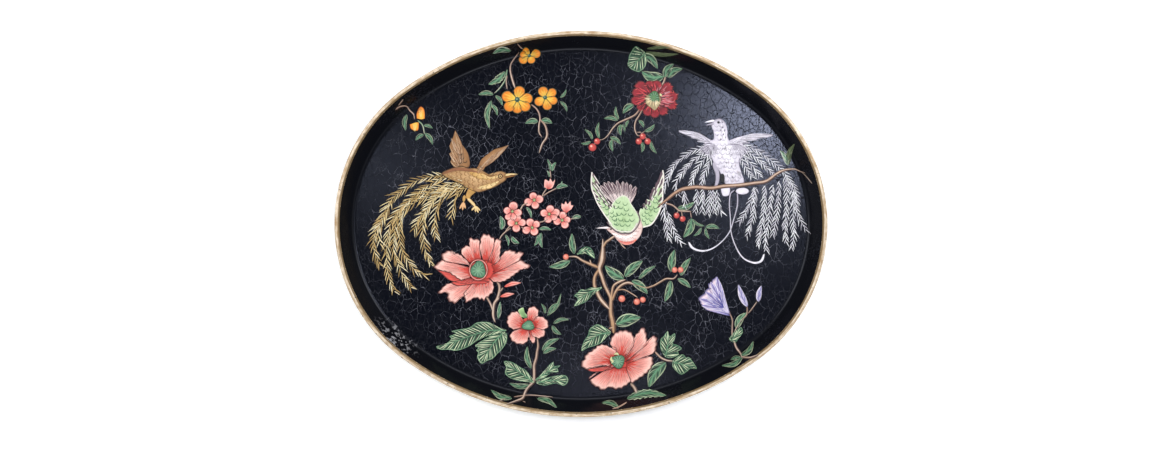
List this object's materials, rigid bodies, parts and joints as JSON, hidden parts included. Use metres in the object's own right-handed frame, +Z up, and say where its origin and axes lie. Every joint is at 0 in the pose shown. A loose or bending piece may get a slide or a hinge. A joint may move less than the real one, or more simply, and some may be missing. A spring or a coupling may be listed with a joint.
{
  "type": "painted oval tray",
  "caption": "Oval sheet-steel serving tray with a sloped side, a gilded rim rolled over a wire, crackled black lacquer and a painted well of birds and flower sprays.",
  "frame": {"origin": "middle of the flat underside, where the tray rests, at the centre of the oval", "axes": "+Z up out of the well, +X along the oval's length towards the tray's right, +Y towards the painting's top"},
  "size_m": [0.49, 0.384, 0.021],
  "materials": {
    "black_lacquer": "smooth black lacquer baked on sheet steel, glossy, polished",
    "steel_wire": "bright drawn steel wire",
    "gilding": "pale gold bronze paint, streaked by the brush and worn in flecks",
    "crackle_lacquer": "black crackled lacquer with fine pale grey cracks, semi gloss",
    "gold_paint": "old gold oil paint in fine strokes",
    "silver_paint": "silvery white oil paint in fine strokes",
    "bird_green_paint": "pale green oil paint with cream edges",
    "leaf_paint": "blue-green oil paint with light edges",
    "twig_paint": "brown and mauve oil paint with light edges",
    "yellow_paint": "warm yellow oil paint shading to orange",
    "crimson_paint": "crimson oil paint",
    "pink_paint": "pale pink oil paint",
    "coral_paint": "coral oil paint shading to pale pink",
    "heart_paint": "sea-green oil paint",
    "lilac_paint": "lilac oil paint shading to white"
  },
  "bodies": {
    "root": {"tray_pan": "black_lacquer", "rim_wire": "steel_wire", "rim_gilding": "gilding", "crackle_lacquer": "crackle_lacquer", "gold_bird_body": "gold_paint", "gold_bird_wings": "gold_paint", "gold_bird_plumes": "gold_paint", "silver_bird_body": "silver_paint", "silver_bird_wings": "silver_paint", "silver_bird_plumes": "silver_paint", "silver_bird_ribbons": "silver_paint", "green_bird_body": "bird_green_paint", "green_bird_wings": "bird_green_paint", "green_bird_tail": "bird_green_paint", "yellow_blossoms": "yellow_paint", "yellow_buds": "yellow_paint", "yellow_leaves": "leaf_paint", "yellow_twigs": "twig_paint", "crimson_rose": "crimson_paint", "crimson_berries": "crimson_paint", "crimson_leaves": "leaf_paint", "crimson_twigs": "twig_paint", "pink_blossoms": "pink_paint", "pink_leaves": "leaf_paint", "pink_twigs": "twig_paint", "coral_peony": "coral_paint", "coral_leaves": "leaf_paint", "coral_stem": "twig_paint", "small_poppy": "coral_paint", "small_poppy_leaves": "leaf_paint", "small_poppy_stem": "twig_paint", "pale_peony": "pink_paint", "pale_peony_leaves": "leaf_paint", "pale_peony_stems": "twig_paint", "flower_hearts": "heart_paint", "tree_branches": "twig_paint", "tree_berries": "crimson_paint", "tree_leaves": "leaf_paint", "perch_branch": "twig_paint", "perch_leaves": "leaf_paint", "perch_berries": "crimson_paint", "bellflowers": "lilac_paint", "bellflower_leaves": "leaf_paint", "bellflower_stems": "twig_paint"}
  },
  "joints": []
}
